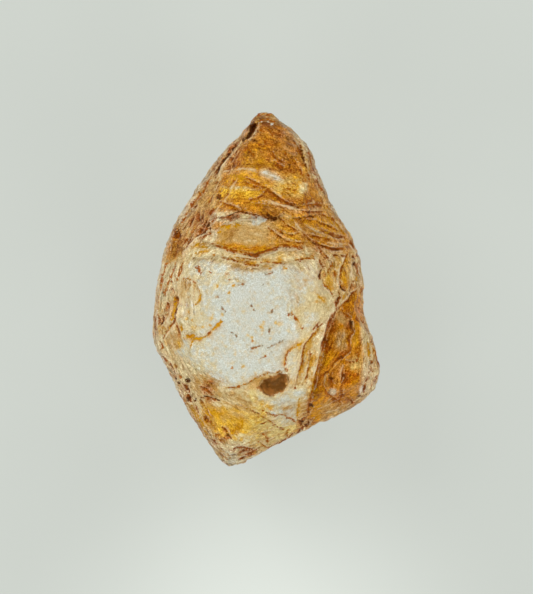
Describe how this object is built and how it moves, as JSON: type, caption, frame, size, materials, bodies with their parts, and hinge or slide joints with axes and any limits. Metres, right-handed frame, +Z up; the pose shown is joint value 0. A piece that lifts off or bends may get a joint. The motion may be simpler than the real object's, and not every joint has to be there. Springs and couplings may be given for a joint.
{
  "type": "rough imperial topaz crystal",
  "caption": "Rough amber topaz crystal that tapers to a blunt tip, with a pale cleavage face, stepped ledges and a broken foot, lying on a flat seat.",
  "frame": {"origin": "middle of the bounding box, at the bottom, on the plane of the flat seat", "axes": "+Y to the blunt tip, along the length; +X to the side with the amber lobe; +Z up, out of the pale cleavage face"},
  "size_m": [0.0226, 0.0356, 0.0165],
  "materials": {
    "topaz": "partly worn crystal, satin to glossy"
  },
  "bodies": {
    "root": {"topaz_crystal": "topaz"}
  },
  "joints": []
}
